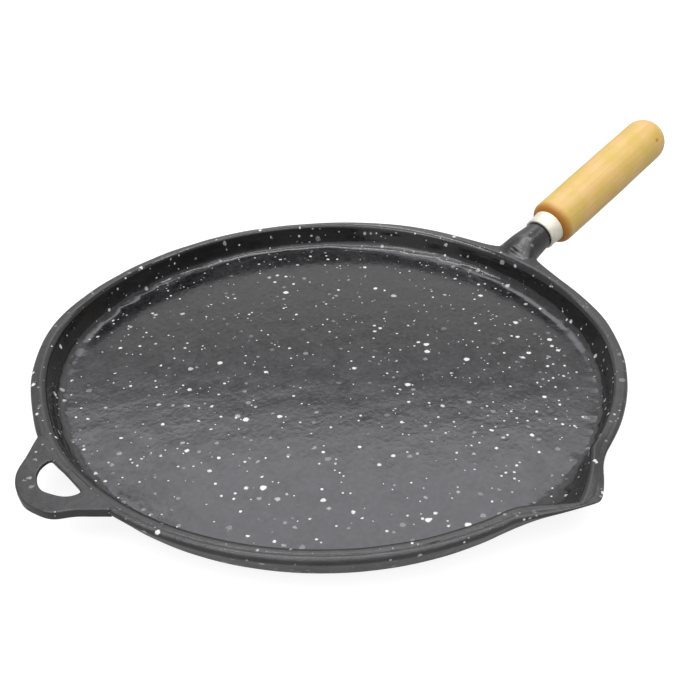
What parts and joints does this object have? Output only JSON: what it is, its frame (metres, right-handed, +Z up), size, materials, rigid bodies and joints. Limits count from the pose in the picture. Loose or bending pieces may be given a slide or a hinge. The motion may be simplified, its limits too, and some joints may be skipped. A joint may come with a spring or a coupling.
{
  "type": "plancha",
  "caption": "Round shallow griddle pan in speckled enamelled cast iron with a raised rim, a pouring lip, a hanging loop and a turned wooden handle that unscrews from a cast stub.",
  "frame": {"origin": "middle of the flat underside, under the plate's turning axis", "axes": "+Z up out of the cooking face, +X out along the handle in plan, so that the pouring lip lies near -Y and the hanging loop near -X"},
  "size_m": [0.4667, 0.3125, 0.0714],
  "materials": {
    "enamel": "gloss black porcelain enamel with white speckle over cast iron",
    "ferrule": "bright spun sleeve, slightly dulled",
    "grip": "turned wood, satin lacquer",
    "fastener": "bright zinc-plated steel"
  },
  "bodies": {
    "pan": {"pan_casting": "enamel"},
    "washer": {"lock_washer": "fastener"},
    "handle": {"ferrule": "ferrule", "wooden_grip": "grip", "hanger_stud": "fastener"}
  },
  "joints": [
    {"name": "handle_back_off", "type": "slide", "parent": "pan", "child": "washer", "axis": [0.9571, 0, 0.2899], "range_m": [0, 0.0202]},
    {"name": "handle_unscrew", "type": "hinge", "parent": "washer", "child": "handle", "pos_m": [0.165, 0, 0.02], "axis": [0.9571, 0, 0.2899], "range_deg": [0, 5760]}
  ],
  "couplings": [
    {"joint": "handle_back_off", "follows": "handle_unscrew", "m_per_rad": 0.00019894}
  ]
}
